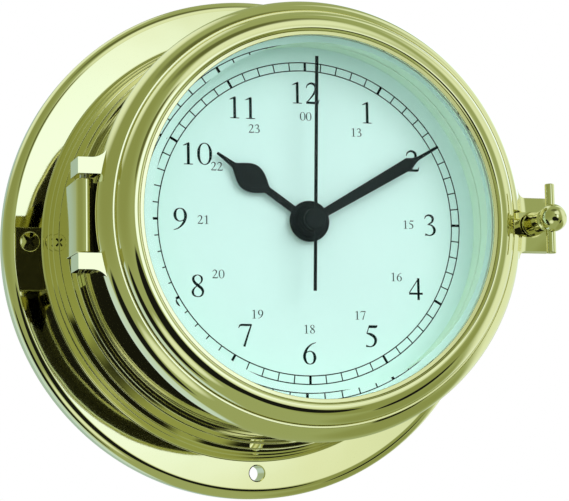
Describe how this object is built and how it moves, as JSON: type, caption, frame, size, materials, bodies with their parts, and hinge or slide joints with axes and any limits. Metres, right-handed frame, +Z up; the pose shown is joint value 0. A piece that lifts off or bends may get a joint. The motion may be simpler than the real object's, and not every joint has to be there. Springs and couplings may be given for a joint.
{
  "type": "marine clock",
  "caption": "Round wall-mounted brass marine clock with a wide screw flange, a hinged porthole bezel closed by a thumb screw, a bevelled crystal, a white dial and a quartz hand train.",
  "frame": {"origin": "centre of the two wall holes, on the clock's axis, in the plane of the flange's back face", "axes": "+Z up to 12 o'clock, +X to 3 o'clock, +Y into the wall, so the dial faces -Y"},
  "size_m": [0.175, 0.0993, 0.175],
  "materials": {
    "polished_brass": "mirror polished, lacquered",
    "steel": "satin",
    "black_rubber": "matt",
    "white_paint": "satin white with a cool tint",
    "black_paint": "satin black",
    "black_plastic": "matt moulded",
    "ivory_plastic": "moulded",
    "copper_winding": "enamelled wire",
    "green_board": "solder mask",
    "battery_sleeve": "plain printed sleeve",
    "clear_glass": "polished, bevelled edge"
  },
  "bodies": {
    "case": {"mounting_flange": "polished_brass", "case_drum": "polished_brass", "hinge_knuckle": "polished_brass", "hinge_pin": "steel", "latch_lug": "polished_brass", "bezel_seal": "black_rubber", "back_cover": "polished_brass", "back_cover_screws": "polished_brass", "dial_plate": "white_paint", "dial_ring": "white_paint", "centre_washer": "polished_brass", "centre_nut": "polished_brass", "movement_case": "black_plastic", "movement_cover": "black_plastic", "coil": "copper_winding", "stator": "steel", "circuit_board": "green_board", "quartz_can": "steel", "battery": "battery_sleeve", "battery_contacts": "steel"},
    "bezel": {"bezel_ring": "polished_brass", "crystal": "clear_glass", "crystal_gasket": "black_rubber", "crystal_retaining_ring": "white_paint"},
    "latch_collar": {"latch_collar": "polished_brass"},
    "thumb_screw": {"thumb_screw": "polished_brass", "tommy_bar": "polished_brass"},
    "seconds_arbor": {"seconds_wheel": "ivory_plastic", "second_hand": "black_paint"},
    "third_wheel": {"third_wheel": "ivory_plastic"},
    "centre_arbor": {"centre_wheel": "ivory_plastic", "minute_hand": "black_paint"},
    "minute_wheel": {"minute_wheel": "ivory_plastic"},
    "hour_arbor": {"hour_wheel": "ivory_plastic", "hour_hand": "black_paint"},
    "intermediate_wheel": {"intermediate_wheel": "ivory_plastic"},
    "rotor": {"rotor": "steel"},
    "setting_arbor": {"setting_knob": "ivory_plastic"}
  },
  "joints": [
    {"name": "bezel_hinge", "type": "hinge", "parent": "case", "child": "bezel", "pos_m": [-0.0728, -0.0725, 0], "axis": [0, 0, -1], "range_deg": [0, 160]},
    {"name": "latch_travel", "type": "slide", "parent": "bezel", "child": "latch_collar", "axis": [0, -1, 0], "range_m": [0, 0.0045]},
    {"name": "thumb_screw_turn", "type": "hinge", "parent": "latch_collar", "child": "thumb_screw", "pos_m": [0.075, -0.08, 0], "axis": [0, -1, 0], "range_deg": [0, 812]},
    {"name": "second_hand_turn", "type": "hinge", "parent": "case", "child": "seconds_arbor", "pos_m": [0, -0.06, 0], "axis": [0, 1, 0], "continuous": true},
    {"name": "third_wheel_turn", "type": "hinge", "parent": "case", "child": "third_wheel", "pos_m": [-0.0136, -0.06, 0], "axis": [0, 1, 0], "continuous": true},
    {"name": "minute_hand_turn", "type": "hinge", "parent": "case", "child": "centre_arbor", "pos_m": [0, -0.06, 0], "axis": [0, 1, 0], "continuous": true},
    {"name": "minute_wheel_turn", "type": "hinge", "parent": "case", "child": "minute_wheel", "pos_m": [0.00208, -0.06, 0.01182], "axis": [0, 1, 0], "continuous": true},
    {"name": "hour_hand_turn", "type": "hinge", "parent": "case", "child": "hour_arbor", "pos_m": [0, -0.06, 0], "axis": [0, 1, 0], "continuous": true},
    {"name": "intermediate_wheel_turn", "type": "hinge", "parent": "case", "child": "intermediate_wheel", "pos_m": [0.0105, -0.06, 0], "axis": [0, 1, 0], "continuous": true},
    {"name": "rotor_turn", "type": "hinge", "parent": "case", "child": "rotor", "pos_m": [0.01744, -0.06, 0.00827], "axis": [0, 1, 0], "continuous": true},
    {"name": "setting_knob_turn", "type": "hinge", "parent": "case", "child": "setting_arbor", "pos_m": [-0.00831, -0.06, 0.01782], "axis": [0, 1, 0], "continuous": true}
  ],
  "couplings": [
    {"joint": "thumb_screw_turn", "follows": "latch_travel", "rad_per_m": 3141.6},
    {"joint": "third_wheel_turn", "follows": "second_hand_turn", "ratio": -0.13333},
    {"joint": "minute_hand_turn", "follows": "second_hand_turn", "ratio": 0.016667},
    {"joint": "minute_wheel_turn", "follows": "second_hand_turn", "ratio": -0.0055556},
    {"joint": "hour_hand_turn", "follows": "second_hand_turn", "ratio": 0.0013889},
    {"joint": "intermediate_wheel_turn", "follows": "second_hand_turn", "ratio": -6},
    {"joint": "rotor_turn", "follows": "second_hand_turn", "ratio": 30},
    {"joint": "setting_knob_turn", "follows": "second_hand_turn", "ratio": 0.016667}
  ]
}
